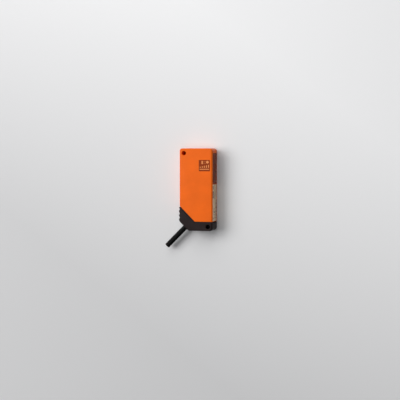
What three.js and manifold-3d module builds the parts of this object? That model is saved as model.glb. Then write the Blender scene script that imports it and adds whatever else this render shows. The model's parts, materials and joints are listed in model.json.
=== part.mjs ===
// Rectangular photoelectric sensor with a 45 degree cable outlet, in millimetres.
// The sensor lies on its broad back face: +Z points out of the broad front face, +Y along the
// long side away from the cable, and +X out of the narrow optical side.
// The origin is the centre of the back face of the body.
import * as THREE from 'three'
import { mergeVertices } from 'three/addons/utils/BufferGeometryUtils.js'
import Module from 'manifold-3d'

const wasm = await Module()
wasm.setup()

// ---- driving dimensions ----------------------------------------------------------------------

const LENGTH = 82
const WIDTH = 33.8
const DEPTH = 18
const CHAMFER_CORNER = 2 // radius of the body's corners at the ends of the outlet face
const REAR_CORNER = 2.5 // at the top, on the rear side
const TOP_CORNER = 3 // at the top, on the optical side
const BASE_CORNER = 3.5 // at the bottom, on the optical side
const EDGE_RADIUS = 0.7
const OPTICAL_EDGE_RADIUS = 2 // the edge between the front face and the optical side

const REAR_WALL = 1.6 // every wall of the housing but the next two
const OPTICAL_WALL = 2.6
const TOP_WALL = 2.2

const JOINT_Y = -32 // the straight stretch of the line where housing and cap meet
const JOINT_BEND_X = -1.3 // from here that line climbs to the rear at 45 degrees
const CAP_GAP = 0.9 // from the housing's rim to the cap's shoulder, filled by the gasket
const CAP_STEP = 0.3 // the cap's front face lies this far below the housing's
const CAP_WALL = 1.8
const CHAMFER = 8.8 // legs of the 45 degree outlet face
const SPIGOT_HEIGHT = 4
const SPIGOT_WALL = 1.2
const SPIGOT_GAP = 0.25

const RIB_COUNT = 4
const RIB_PITCH = 4.13
const FIRST_RIB_Y = -17.6
const RIB_PROUD = 0.9
const RIB_DEPTH = 0.75

const MOUNT_HOLE_RADIUS = 2.15
const TOP_HOLE = [-12.5, 36.2]
const CAP_HOLE = [12.1, -36.9]

const WINDOW_LOW = 5.8
const WINDOW_HIGH = 36.1
const LABEL_LOW = -31.6
const LABEL_HIGH = 5.4
const FRONT_BORDER = 1.5 // from the recesses of window and label to the front face
const BACK_BORDER = 0.6

const OUTLET_Z = 7 // height of the cable's axis over the back face
const CABLE_DIAMETER = 5.2
const CABLE_VISIBLE = 29.3 // from the outlet face to the cut end
const CABLE_INSET = 4.6 // from the outlet face in to the bushing
const CORE_DIAMETER = 1.2
const CORE_CIRCLE = 1.15 // radius on which the three cores lie inside the sheath

const LENS_PITCH = 12.4
const LENS_DIAMETER = 10.2

const ADJUSTER_X = -4.6
const SELECTOR_X = 3.4
const LIGHT_X = 10.8

// ---- places that follow from them ------------------------------------------------------------

const TOP = LENGTH / 2
const BOTTOM = -TOP
const OPTICAL = WIDTH / 2
const REAR = -OPTICAL
const MID = DEPTH / 2
const CAP_DEPTH = DEPTH - CAP_STEP

const INNER_REAR = REAR + REAR_WALL
const INNER_OPTICAL = OPTICAL - OPTICAL_WALL
const INNER_TOP = TOP - TOP_WALL
const INNER_BACK = REAR_WALL
const INNER_FRONT = DEPTH - REAR_WALL

const BEYOND = 60 // further out than any face of the object
const SQRT2 = Math.SQRT2

// ---- geometry helpers ------------------------------------------------------------------------

function solid (geometry) {
  const bare = geometry.clone()
  for (const name of Object.keys(bare.attributes)) {
    if (name !== 'position') bare.deleteAttribute(name)
  }
  const merged = mergeVertices(bare, 1e-4)
  const index = merged.index.array
  const triangles = []
  for (let i = 0; i < index.length; i += 3) {
    const [a, b, c] = [index[i], index[i + 1], index[i + 2]]
    if (a !== b && b !== c && c !== a) triangles.push(a, b, c)
  }
  return new wasm.Manifold(new wasm.Mesh({
    numProp: 3,
    vertProperties: Float32Array.from(merged.attributes.position.array),
    triVerts: Uint32Array.from(triangles)
  }))
}

function geometryOf (body) {
  const mesh = body.getMesh()
  const geometry = new THREE.BufferGeometry()
  geometry.setAttribute('position', new THREE.BufferAttribute(mesh.vertProperties, 3))
  geometry.setIndex(new THREE.BufferAttribute(mesh.triVerts, 1))
  const flat = geometry.toNonIndexed()
  flat.computeVertexNormals()
  return flat
}

const union = bodies => bodies.reduce((sum, body) => sum.add(body))

// Corners run anticlockwise as [x, y] or [x, y, radius], and each radius becomes an arc.
function outline (corners, steps = 4) {
  const points = []
  corners.forEach(([x, y, radius = 0], i) => {
    const corner = new THREE.Vector2(x, y)
    if (radius === 0) {
      points.push(corner)
      return
    }
    const before = corners.at(i - 1)
    const after = corners[(i + 1) % corners.length]
    const back = new THREE.Vector2(before[0], before[1]).sub(corner).normalize()
    const ahead = new THREE.Vector2(after[0], after[1]).sub(corner).normalize()
    const half = Math.acos(back.dot(ahead)) / 2
    const centre = back.clone().add(ahead).normalize().multiplyScalar(radius / Math.sin(half)).add(corner)
    const reach = radius / Math.tan(half)
    const start = back.multiplyScalar(reach).add(corner).sub(centre).angle()
    const end = ahead.multiplyScalar(reach).add(corner).sub(centre).angle()
    const turn = Math.atan2(Math.sin(end - start), Math.cos(end - start))
    for (let k = 0; k <= steps; k++) {
      const angle = start + turn * k / steps
      points.push(new THREE.Vector2(Math.cos(angle), Math.sin(angle)).multiplyScalar(radius).add(centre))
    }
  })
  return points
}

// An outline in X and Y made solid between two heights, with its outer edges rounded.
function prism (points, low, high, edge = 0) {
  const geometry = new THREE.ExtrudeGeometry(new THREE.Shape(points), {
    depth: high - low - 2 * edge,
    steps: 1,
    bevelEnabled: edge > 0,
    bevelSize: edge,
    bevelThickness: edge,
    bevelOffset: -edge,
    bevelSegments: 2
  })
  return solid(geometry.translate(0, 0, low + edge))
}

function block (low, high) {
  const size = high.map((value, i) => value - low[i])
  const geometry = new THREE.BoxGeometry(...size)
  return solid(geometry.translate(...low.map((value, i) => value + size[i] / 2)))
}

// A round bar along 'x', 'y' or 'z' from one place on that axis to another; across gives the
// other two coordinates in X, Y, Z order.
function bar (axis, from, to, across, radius, endRadius = radius, sides = 24) {
  const geometry = new THREE.CylinderGeometry(endRadius, radius, to - from, sides)
  const middle = (from + to) / 2
  if (axis === 'x') return solid(geometry.rotateZ(-Math.PI / 2).translate(middle, ...across))
  if (axis === 'z') return solid(geometry.rotateX(Math.PI / 2).translate(...across, middle))
  return solid(geometry.translate(across[0], middle, across[1]))
}

// A profile of [radius, height] turned about Y.
function turned (profile, sides = 24) {
  return new THREE.LatheGeometry(profile.map(([r, h]) => new THREE.Vector2(r, h)), sides)
}

function ring (inner, outer, low, high, sides = 24) {
  return turned([[inner, low], [outer, low], [outer, high], [inner, high], [inner, low]], sides)
}

// ---- materials and the scene graph -----------------------------------------------------------

const LOOKS = {
  orange: { color: 0xea6b22, roughness: 0.45 },
  black: { color: 0x262423, roughness: 0.5 },
  rubber: { color: 0x1b1a19, roughness: 0.8 },
  sheath: { color: 0x1e1d1c, roughness: 0.6 },
  window: { color: 0x3a1410, roughness: 0.08 },
  foil: { color: 0x9a958c, roughness: 0.4, metalness: 0.7 },
  clear: { color: 0xe8eef0, roughness: 0.05 },
  amber: { color: 0xe8a21a, roughness: 0.15 },
  red: { color: 0xb01810, roughness: 0.15 },
  white: { color: 0xe9e7e0, roughness: 0.5 },
  board: { color: 0x1f6b3a, roughness: 0.5 },
  steel: { color: 0xb9bcc0, roughness: 0.35, metalness: 0.9 },
  brass: { color: 0xc9a24a, roughness: 0.3, metalness: 0.9 },
  aluminium: { color: 0xc4c6c8, roughness: 0.3, metalness: 0.9 },
  brown: { color: 0x6b3b1e, roughness: 0.5 },
  blue: { color: 0x2457a8, roughness: 0.5 }
}

const sensor = new THREE.Group()

function piece (name, shape, look, parent = sensor) {
  const geometry = shape.isBufferGeometry ? shape : geometryOf(shape)
  const mesh = new THREE.Mesh(geometry, new THREE.MeshStandardMaterial(LOOKS[look]))
  mesh.name = name
  parent.add(mesh)
  return mesh
}

function group (x, y, z) {
  const made = new THREE.Group()
  made.position.set(x, y, z)
  sensor.add(made)
  return made
}

// ---- outlines shared by the housing, the cap and the gasket ----------------------------------

// The body's outline, drawn in by a distance that is the same on every side.
function bodyOutline (inset = 0) {
  const left = REAR + inset
  const right = OPTICAL - inset
  const low = BOTTOM + inset
  const cut = CHAMFER - inset * (2 - SQRT2)
  const within = radius => Math.max(radius - inset, 0.3)
  return outline([
    [left, TOP - inset, within(REAR_CORNER)],
    [left, low + cut, within(CHAMFER_CORNER)],
    [left + cut, low, within(CHAMFER_CORNER)],
    [right, low, within(BASE_CORNER)],
    [right, TOP - inset, within(TOP_CORNER)]
  ])
}

// The joint line, moved down by an offset that is square to each of its two stretches, closed
// round everything above it or below it.
function besideJoint (offset, side) {
  const level = JOINT_Y - offset
  const bend = JOINT_BEND_X - offset * (SQRT2 - 1)
  const points = [[-BEYOND, level + bend + BEYOND], [bend, level], [BEYOND, level]]
  const far = [[BEYOND, side * 2 * BEYOND], [-BEYOND, side * 2 * BEYOND]]
  const ordered = side > 0 ? [...points, ...far] : [...points, ...far].reverse()
  return prism(outline(ordered), -BEYOND, BEYOND)
}

const aboveJoint = offset => besideJoint(offset, 1)
const belowJoint = offset => besideJoint(offset, -1)

// Everything under a front face at this height and its rounded edge to the optical side, drawn
// in by a distance.
function underFrontEdge (height, inset = 0) {
  const section = outline([
    [-BEYOND, -1],
    [OPTICAL - inset, -1],
    [OPTICAL - inset, height - inset, OPTICAL_EDGE_RADIUS - inset],
    [-BEYOND, height - inset]
  ])
  const length = 2 * BEYOND
  const settings = { depth: length, bevelEnabled: false }
  const geometry = new THREE.ExtrudeGeometry(new THREE.Shape(section), settings)
  return solid(geometry.translate(0, 0, -length / 2).rotateX(Math.PI / 2))
}

// ---- housing ---------------------------------------------------------------------------------

const BOSS_REACH = 8.15 // of the corner boss round the top mounting hole, from the rear face
const COLLAR_RADIUS = 3.7
const COLLAR_LOW = 37
const WELL_RADIUS = 3.2
const WELL_FLOOR = 40
const SPINDLE_BORE = 2.25
const PIPE_BORE = 2.2
const WINDOW_SEAT = 1.85 // depth of the window's recess
const WINDOW_LEDGE = 1.4 // its ledge, all round
const LABEL_SEAT = 0.4
const SCREW_X = 4.5
const SCREW_BACK_Z = 4.2
const SCREW_FRONT_Z = DEPTH - SCREW_BACK_Z
const SCREW_BOSS_HALF = 2.5
const SCREW_BOSS_TOP = -25.4
const SCREW_HOLE = 1.45
const BOARD_BACK = 5
const BOARD_THICKNESS = 1
const POST_RADIUS = 1.3
const POSTS = [[-11.5, 27], [-11.5, -8], [10.8, -19.5], [10.8, 4]]

// A block between two X and two Y values whose depth fills the recess of window or label, drawn in
// by a gap along its four sides.
function opticalBlock (fromX, toX, lowY, highY, gap) {
  return block(
    [fromX, lowY + gap, BACK_BORDER + gap],
    [toX, highY - gap, DEPTH - FRONT_BORDER - gap]
  )
}

function housingCavity () {
  const room = prism(outline([
    [INNER_REAR, -BEYOND],
    [INNER_OPTICAL, -BEYOND],
    [INNER_OPTICAL, INNER_TOP, 1],
    [REAR + BOSS_REACH, INNER_TOP, 0.6],
    [REAR + BOSS_REACH, TOP - BOSS_REACH, 2],
    [INNER_REAR, TOP - BOSS_REACH, 0.6]
  ]), INNER_BACK, INNER_FRONT)
  const kept = [ADJUSTER_X, SELECTOR_X].map(x => bar('y', COLLAR_LOW, TOP, [x, MID], COLLAR_RADIUS))
  for (const [x, y] of POSTS) kept.push(bar('z', 0, BOARD_BACK - 0.2, [x, y], POST_RADIUS, POST_RADIUS, 12))
  for (const z of [SCREW_BACK_Z, SCREW_FRONT_Z]) {
    const [low, high] = z < MID ? [0, z + SCREW_BOSS_HALF] : [z - SCREW_BOSS_HALF, DEPTH]
    kept.push(block(
      [SCREW_X - SCREW_BOSS_HALF, -BEYOND, low],
      [SCREW_X + SCREW_BOSS_HALF, SCREW_BOSS_TOP, high]
    ))
  }
  return room.subtract(union(kept))
}

function makeHousing () {
  const body = prism(bodyOutline(), 0, DEPTH, EDGE_RADIUS)
    .intersect(underFrontEdge(DEPTH))
    .intersect(aboveJoint(0))
  const cuts = [
    housingCavity(),
    bar('z', -1, DEPTH + 1, TOP_HOLE, MOUNT_HOLE_RADIUS),
    opticalBlock(OPTICAL - WINDOW_SEAT, BEYOND, WINDOW_LOW, WINDOW_HIGH, 0),
    opticalBlock(0, BEYOND, WINDOW_LOW, WINDOW_HIGH, WINDOW_LEDGE),
    opticalBlock(OPTICAL - LABEL_SEAT, BEYOND, LABEL_LOW, LABEL_HIGH, 0),
    bar('y', INNER_TOP - 1, BEYOND, [LIGHT_X, MID], PIPE_BORE)
  ]
  for (const x of [ADJUSTER_X, SELECTOR_X]) {
    cuts.push(bar('y', WELL_FLOOR, BEYOND, [x, MID], WELL_RADIUS, WELL_RADIUS, 32))
    cuts.push(bar('y', COLLAR_LOW - 1, BEYOND, [x, MID], SPINDLE_BORE))
  }
  for (const z of [SCREW_BACK_Z, SCREW_FRONT_Z]) {
    cuts.push(bar('y', -BEYOND, SCREW_BOSS_TOP - 0.8, [SCREW_X, z], SCREW_HOLE, SCREW_HOLE, 16))
  }
  return body.subtract(union(cuts))
}

piece('housing_shell', makeHousing(), 'orange')

// ---- cable outlet: everything on it lies along one axis at 45 degrees ------------------------

const outlet = new THREE.Vector3(REAR + CHAMFER / 2, BOTTOM + CHAMFER / 2, OUTLET_Z)
const outward = new THREE.Vector3(-1, -1, 0).normalize()
const alongFace = new THREE.Vector3(1, -1, 0).normalize()

// A point this far out from the outlet face on the cable's axis; inside the cap it is negative.
const onCable = distance => outlet.clone().addScaledVector(outward, distance)

// Places a shape made along Y on the cable's axis, its own +Y pointing out of the cap.
function onOutlet (shape) {
  return shape
    .rotateZ(Math.PI / 2 + Math.PI / 4)
    .translate(outlet.x, outlet.y, outlet.z)
}

const outletBar = (from, to, radius, sides = 24) => solid(onOutlet(
  new THREE.CylinderGeometry(radius, radius, to - from, sides).translate(0, (from + to) / 2, 0)
))

// ---- end cap ---------------------------------------------------------------------------------

const MOUTH_RADIUS = 2.85
const SEAT_DEPTH = 4.75
const SEAT_RADIUS = 4.4
const OUTLET_BLOCK_RADIUS = 6.2
const OUTLET_BLOCK_DEPTH = 11
const CAP_BOSS_RADIUS = 3.9
const SHOULDER_THICKNESS = 1.3
const SCREW_COLUMN_RADIUS = 3.2
const SCREW_HEAD_BORE = 2.6
const SCREW_HEAD_FLOOR = BOTTOM + 2.4

// The rear side between two ribs is scooped out by a round groove along Z.
function ribGrooves () {
  const radius = 1.6
  const x = REAR - RIB_PROUD - radius + RIB_DEPTH
  const grooves = []
  for (let i = 0; i < RIB_COUNT - 1; i++) {
    const y = FIRST_RIB_Y - RIB_PITCH * (i + 0.5)
    grooves.push(bar('z', -1, DEPTH + 1, [x, y], radius))
  }
  return grooves
}

// A pad that stands proud of the rear side, in which the grooves leave the ribs.
function ribPad () {
  const low = BOTTOM + CHAMFER + 0.6
  const high = JOINT_Y - CAP_GAP * SQRT2 + (JOINT_BEND_X - REAR) - 0.2
  return prism(outline([
    [REAR - RIB_PROUD, high, 0.35],
    [REAR - RIB_PROUD, low, 0.35],
    [REAR + 1, low],
    [REAR + 1, high]
  ], 2), EDGE_RADIUS, CAP_DEPTH - EDGE_RADIUS, 0.25)
}

function spigotOutline (inset) {
  const left = INNER_REAR + SPIGOT_GAP + inset
  const right = INNER_OPTICAL - SPIGOT_GAP - inset
  return outline([[left, 0], [left, -BEYOND], [right, -BEYOND], [right, 0]])
}

function makeSpigot () {
  const tube = prism(spigotOutline(0), INNER_BACK + SPIGOT_GAP, INNER_FRONT - SPIGOT_GAP)
  const clearance = SCREW_BOSS_HALF + 0.5
  const notches = [SCREW_BACK_Z, SCREW_FRONT_Z].map(z => block(
    [SCREW_X - clearance, JOINT_Y - CAP_GAP, z - clearance],
    [SCREW_X + clearance, 0, z + clearance]
  ))
  return tube
    .intersect(aboveJoint(CAP_GAP + 0.5))
    .intersect(belowJoint(-SPIGOT_HEIGHT))
    .subtract(union(notches))
}

function makeCap () {
  const body = prism(bodyOutline(), 0, CAP_DEPTH, EDGE_RADIUS)
    .intersect(underFrontEdge(CAP_DEPTH))
    .add(ribPad())
    .intersect(belowJoint(CAP_GAP))
  const lowerRoom = prism(bodyOutline(CAP_WALL), CAP_WALL, CAP_DEPTH - CAP_WALL)
    .intersect(belowJoint(CAP_GAP + SHOULDER_THICKNESS))
  const upperRoom = prism(
    spigotOutline(SPIGOT_WALL),
    INNER_BACK + SPIGOT_GAP + SPIGOT_WALL,
    INNER_FRONT - SPIGOT_GAP - SPIGOT_WALL
  ).intersect(aboveJoint(CAP_GAP + SHOULDER_THICKNESS + 0.5))
  const kept = [
    bar('z', 0, DEPTH, CAP_HOLE, CAP_BOSS_RADIUS),
    block([CAP_HOLE[0], BOTTOM, 0], [OPTICAL, JOINT_Y, DEPTH]),
    outletBar(-OUTLET_BLOCK_DEPTH, 0, OUTLET_BLOCK_RADIUS)
  ]
  for (const z of [SCREW_BACK_Z, SCREW_FRONT_Z]) {
    kept.push(bar('y', BOTTOM, JOINT_Y - CAP_GAP, [SCREW_X, z], SCREW_COLUMN_RADIUS))
  }
  const room = lowerRoom.add(upperRoom).subtract(union(kept))
  const cuts = [
    ...ribGrooves(),
    bar('z', -1, DEPTH + 1, CAP_HOLE, MOUNT_HOLE_RADIUS),
    outletBar(-SEAT_DEPTH - 1, 1, MOUTH_RADIUS),
    outletBar(-OUTLET_BLOCK_DEPTH - 6, -SEAT_DEPTH, SEAT_RADIUS)
  ]
  for (const z of [SCREW_BACK_Z, SCREW_FRONT_Z]) {
    cuts.push(bar('y', -BEYOND, SCREW_HEAD_FLOOR, [SCREW_X, z], SCREW_HEAD_BORE))
    cuts.push(bar('y', -BEYOND, 0, [SCREW_X, z], SCREW_HOLE, SCREW_HOLE, 16))
  }
  return body.add(makeSpigot()).subtract(room).subtract(union(cuts))
}

piece('end_cap', makeCap(), 'black')

// ---- gasket between them ---------------------------------------------------------------------

function makeGasket () {
  const setBack = 0.45
  const width = 1.05
  const clearance = 0.15
  const outer = prism(bodyOutline(setBack), setBack, CAP_DEPTH - setBack)
    .intersect(underFrontEdge(CAP_DEPTH, setBack))
  const hole = prism(bodyOutline(setBack + width), setBack + width, CAP_DEPTH - setBack - width)
  return outer
    .subtract(hole)
    .intersect(aboveJoint(CAP_GAP - clearance))
    .intersect(belowJoint(clearance))
}

piece('cap_gasket', makeGasket(), 'rubber')

// ---- window and label on the optical side ----------------------------------------------------

const WINDOW_THICKNESS = 1.25
const LABEL_THICKNESS = 0.2
const SEAT_GAP = 0.2 // round window and label, in their recesses
const SURFACE_GAP = 0.1 // how far window and label lie below the surface

function makeWindow () {
  const outer = OPTICAL - SURFACE_GAP
  return opticalBlock(outer - WINDOW_THICKNESS, outer, WINDOW_LOW, WINDOW_HIGH, SEAT_GAP)
}

function makeWindowSeal () {
  const inner = OPTICAL - WINDOW_SEAT + 0.1
  const frame = opticalBlock(inner, inner + 0.3, WINDOW_LOW, WINDOW_HIGH, SEAT_GAP + 0.1)
  return frame.subtract(opticalBlock(0, BEYOND, WINDOW_LOW, WINDOW_HIGH, WINDOW_LEDGE))
}

function makeLabel () {
  const outer = OPTICAL - SURFACE_GAP
  return opticalBlock(outer - LABEL_THICKNESS, outer, LABEL_LOW, LABEL_HIGH, SEAT_GAP)
}

piece('front_window', makeWindow(), 'window')
piece('window_seal', makeWindowSeal(), 'rubber')
piece('type_label', makeLabel(), 'foil')

// ---- boards ----------------------------------------------------------------------------------

const BOARD_FRONT = BOARD_BACK + BOARD_THICKNESS
const ON_BOARD = BOARD_FRONT + 0.1 // the underside of what is soldered to the main board
const OPTICS_BOARD_X = 0.6
const WINDOW_MIDDLE = (WINDOW_LOW + WINDOW_HIGH) / 2
const EMITTER_Y = WINDOW_MIDDLE + LENS_PITCH / 2
const RECEIVER_Y = WINDOW_MIDDLE - LENS_PITCH / 2
const CARRIER_LOW = WINDOW_MIDDLE - 12.2
const CARRIER_HIGH = WINDOW_MIDDLE + 12.2

// L-shaped: it passes behind the optics, and a strip at the top carries the controls.
const mainBoard = [
  [INNER_REAR + 0.6, -10.6],
  [-0.65, -24.5],
  [INNER_OPTICAL - 0.45, -24.5],
  [INNER_OPTICAL - 0.45, CARRIER_LOW - 0.5],
  [0.2, CARRIER_LOW - 0.5],
  [0.2, CARRIER_HIGH + 0.45],
  [13.2, CARRIER_HIGH + 0.45],
  [13.2, 36.7],
  [-8.1, 36.7],
  [-8.1, 32.4],
  [INNER_REAR + 0.6, 32.4]
]

piece('main_board', prism(outline(mainBoard), BOARD_BACK, BOARD_FRONT), 'board')
piece('optics_board', block(
  [OPTICS_BOARD_X, CARRIER_LOW, 2.2],
  [OPTICS_BOARD_X + 1, CARRIER_HIGH, DEPTH - 2.2]
), 'board')

function makeHeader () {
  const pins = 5
  const pitch = 2
  const body = block([-2.4, WINDOW_MIDDLE - 6, ON_BOARD], [-0.3, WINDOW_MIDDLE + 6, ON_BOARD + 2.2])
  const all = [body]
  for (let i = 0; i < pins; i++) {
    const y = WINDOW_MIDDLE + (i - (pins - 1) / 2) * pitch
    all.push(block([-0.5, y - 0.25, ON_BOARD + 0.8], [OPTICS_BOARD_X - 0.1, y + 0.25, ON_BOARD + 1.3]))
  }
  return union(all)
}

piece('board_header', makeHeader(), 'black')

// ---- optics ----------------------------------------------------------------------------------

const CARRIER_BACK_X = 2
const CARRIER_FRONT_X = 13.6
const LENS_SEAT_X = 11

function makeCarrier () {
  const body = block([CARRIER_BACK_X, CARRIER_LOW, 2], [CARRIER_FRONT_X, CARRIER_HIGH, DEPTH - 2])
  const cuts = []
  for (const y of [EMITTER_Y, RECEIVER_Y]) {
    cuts.push(bar('x', CARRIER_BACK_X - 1, LENS_SEAT_X + 0.5, [y, MID], 2.75, 4.7))
    cuts.push(bar('x', LENS_SEAT_X, CARRIER_FRONT_X + 1, [y, MID], LENS_DIAMETER / 2 + 0.2))
  }
  return body.subtract(union(cuts))
}

piece('optics_carrier', makeCarrier(), 'black')

// Flat at the back, domed towards the window.
function makeLens () {
  const radius = LENS_DIAMETER / 2
  const rim = 0.9
  const sag = 1.3
  const profile = [[0, 0], [radius, 0], [radius, rim]]
  for (let i = 1; i <= 5; i++) {
    const r = radius * (1 - i / 5)
    profile.push([r, rim + sag * (1 - (r / radius) ** 2)])
  }
  return turned(profile, 32)
}

function makeDomeLed () {
  const radius = 2.4
  const body = 3
  const profile = [[0, 0], [radius + 0.2, 0], [radius + 0.2, 0.8], [radius, 0.8], [radius, body]]
  for (let i = 1; i <= 4; i++) {
    const angle = i / 4 * Math.PI / 2
    profile.push([i === 4 ? 0 : radius * Math.cos(angle), body + radius * Math.sin(angle)])
  }
  return turned(profile, 20)
}

for (const [name, y] of [['emitter_lens', EMITTER_Y], ['receiver_lens', RECEIVER_Y]]) {
  const lens = piece(name, makeLens(), 'clear')
  lens.position.set(LENS_SEAT_X + 0.2, y, MID)
  lens.rotation.z = -Math.PI / 2
}

const emitter = piece('emitter_led', makeDomeLed(), 'red')
emitter.position.set(OPTICS_BOARD_X + 1.15, EMITTER_Y, MID)
emitter.rotation.z = -Math.PI / 2

const photodiodeBase = OPTICS_BOARD_X + 1.15
piece('photodiode', union([
  block([photodiodeBase, RECEIVER_Y - 1.7, MID - 1.7], [photodiodeBase + 1.1, RECEIVER_Y + 1.7, MID + 1.7]),
  bar('x', photodiodeBase + 1, photodiodeBase + 1.5, [RECEIVER_Y, MID], 1.2, 0.8, 16)
]), 'black')

// ---- parts on the main board -----------------------------------------------------------------

function makeShieldCan () {
  const [low, high] = [[-12.6, 11, ON_BOARD], [-4, 25, ON_BOARD + 4.4]]
  const sheet = 0.3
  const inside = block(
    [low[0] + sheet, low[1] + sheet, low[2] - 1],
    [high[0] - sheet, high[1] - sheet, high[2] - sheet]
  )
  return block(low, high).subtract(inside)
}

// A flat chip whose legs stand out on its two long sides.
function makeChip (x, y, halfWidth, halfLength, height, legs) {
  const all = [block(
    [x - halfWidth, y - halfLength, ON_BOARD + 0.1],
    [x + halfWidth, y + halfLength, ON_BOARD + height]
  )]
  const pitch = 2 * halfLength / (legs + 1)
  for (let i = 1; i <= legs; i++) {
    const legY = y - halfLength + pitch * i
    all.push(block(
      [x - halfWidth - 0.8, legY - 0.2, ON_BOARD],
      [x + halfWidth + 0.8, legY + 0.2, ON_BOARD + 0.35]
    ))
  }
  return union(all)
}

function makeTransistor () {
  const [x, y] = [9, -14]
  const all = [
    block([x - 3.2, y - 3, ON_BOARD + 0.1], [x + 3.2, y + 3, ON_BOARD + 2.3]),
    block([x - 2.6, y + 2.5, ON_BOARD], [x + 2.6, y + 4.1, ON_BOARD + 0.6])
  ]
  for (const leg of [-2.3, 2.3]) {
    all.push(block([x + leg - 0.4, y - 4.9, ON_BOARD], [x + leg + 0.4, y - 2.5, ON_BOARD + 0.6]))
  }
  return union(all)
}

function makeCapacitor () {
  const [radius, groove] = [3.1, 2.75]
  return turned([
    [0, 0], [radius, 0], [radius, 1.1], [groove, 1.4], [groove, 1.7], [radius, 2],
    [radius, 7.1], [radius - 0.4, 7.5], [0, 7.5]
  ])
}

function makeRegulator () {
  const [x, y] = [-8.6, -5.5]
  const all = [block([x - 1.8, y - 2.3, ON_BOARD + 0.1], [x + 1.8, y + 2.3, ON_BOARD + 1.6])]
  for (const leg of [-1.5, 0, 1.5]) {
    all.push(block([x - 2.9, y + leg - 0.3, ON_BOARD], [x - 1.5, y + leg + 0.3, ON_BOARD + 0.4]))
  }
  return union(all)
}

function makeDiode () {
  const [x, y] = [3.8, -20.9]
  return union([
    block([x - 1.3, y - 2.1, ON_BOARD + 0.1], [x + 1.3, y + 2.1, ON_BOARD + 2]),
    block([x - 0.8, y - 2.6, ON_BOARD], [x + 0.8, y + 2.6, ON_BOARD + 0.4])
  ])
}

piece('shield_can', makeShieldCan(), 'steel')
piece('controller_chip', makeChip(-1.5, -2.5, 2, 3.4, 1.5, 6), 'black')
piece('output_transistor', makeTransistor(), 'black')
const capacitor = piece('buffer_capacitor', makeCapacitor(), 'aluminium')
capacitor.position.set(8.5, -3, ON_BOARD)
capacitor.rotation.x = Math.PI / 2
piece('voltage_regulator', makeRegulator(), 'black')
piece('protection_diode', makeDiode(), 'black')

// ---- controls in the top face: two slotted spindles, each turning a rotor on the board -------

const CONTROL_BASE_Y = CARRIER_HIGH + 0.5
const CONTROL_TOP_Y = 36.5
const ROTOR_LOW = CONTROL_BASE_Y + 0.9
const HEAD_RADIUS = 2.85
const SHAFT_RADIUS = 2
const GROOVE_RADIUS = 1.15

function makeSpindle (slotWidth) {
  const head = turned([
    [0, 36.9], [SHAFT_RADIUS, 36.9], [SHAFT_RADIUS, 38.1], [GROOVE_RADIUS, 38.1],
    [GROOVE_RADIUS, 39.5], [SHAFT_RADIUS, 39.5], [SHAFT_RADIUS, 40.15], [HEAD_RADIUS, 40.15],
    [HEAD_RADIUS, 40.7], [HEAD_RADIUS - 0.2, 40.9], [0, 40.9]
  ], 32)
  const tongue = block([-1.2, 35.1, -0.45], [1.2, 37.2, 0.45])
  const slot = block([-BEYOND, 40.4, -slotWidth / 2], [BEYOND, BEYOND, slotWidth / 2])
  return solid(head).add(tongue).subtract(slot)
}

function makeRotor () {
  const disc = solid(turned([[0, ROTOR_LOW], [1.9, ROTOR_LOW], [1.9, 36.6], [0, 36.6]]))
  const socket = block([-1.4, 34.8, -0.65], [1.4, BEYOND, 0.65])
  return disc.subtract(socket)
}

function makeControlBody () {
  const half = 3.1
  const base = ON_BOARD - MID
  const body = block([-half, CONTROL_BASE_Y, base], [half, CONTROL_TOP_Y, base + 2 * half])
  const pocket = bar('y', ROTOR_LOW - 0.2, BEYOND, [0, 0], 2.15)
  return body.subtract(pocket)
}

function makeORing () {
  return new THREE.TorusGeometry(1.72, 0.38, 8, 24).rotateX(Math.PI / 2)
}

const controls = [
  {
    x: ADJUSTER_X,
    slotWidth: 0.8,
    names: ['sensitivity_adjuster', 'adjuster_seal', 'trimmer_rotor', 'trimmer_body']
  },
  {
    x: SELECTOR_X,
    slotWidth: 1,
    names: ['mode_selector', 'selector_seal', 'selector_switch_rotor', 'selector_switch_body']
  }
]

for (const { x, slotWidth, names: [spindle, seal, rotor, base] } of controls) {
  const place = group(x, 0, MID)
  piece(spindle, makeSpindle(slotWidth), 'white', place)
  piece(seal, makeORing(), 'rubber', place).position.y = 38.8
  piece(rotor, makeRotor(), 'white', place)
  piece(base, makeControlBody(), 'blue', place)
}

// ---- status light ----------------------------------------------------------------------------

function makeLightPipe () {
  const stem = solid(turned([
    [0, 37.4], [2.7, 37.4], [2.7, 38.6], [1.95, 38.6], [1.95, 40.3], [1.5, 40.7], [0.8, 40.88], [0, 40.9]
  ]))
  const leg = block([-1.4, 34.4, -1.5], [1.4, 37.8, 1.5])
  return stem.add(leg)
}

piece('light_pipe', makeLightPipe(), 'clear', group(LIGHT_X, 0, MID))
piece('status_led', union([
  block([LIGHT_X - 1.4, 34.6, ON_BOARD], [LIGHT_X + 1.4, 36.2, ON_BOARD + 0.6]),
  block([LIGHT_X - 0.8, 34.7, ON_BOARD + 0.5], [LIGHT_X + 0.8, 36.1, ON_BOARD + 1.1])
]), 'amber')

// ---- cable and what holds it -----------------------------------------------------------------

const BUSHING_OUTER = -CABLE_INSET - 0.3
const BUSHING_INNER = -10.4
const CRIMP_OUTER = -10.8
const CRIMP_INNER = -13.6
const TAIL_END = -14.4

// A round solid that follows the given points.
function along (points, diameter, sides, steps) {
  const section = new THREE.Shape()
  for (let i = 0; i < sides; i++) {
    const angle = 2 * Math.PI * i / sides
    const [x, y] = [Math.cos(angle) * diameter / 2, Math.sin(angle) * diameter / 2]
    if (i === 0) section.moveTo(x, y)
    else section.lineTo(x, y)
  }
  return new THREE.ExtrudeGeometry(section, {
    steps,
    bevelEnabled: false,
    extrudePath: new THREE.CatmullRomCurve3(points)
  })
}

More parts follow.
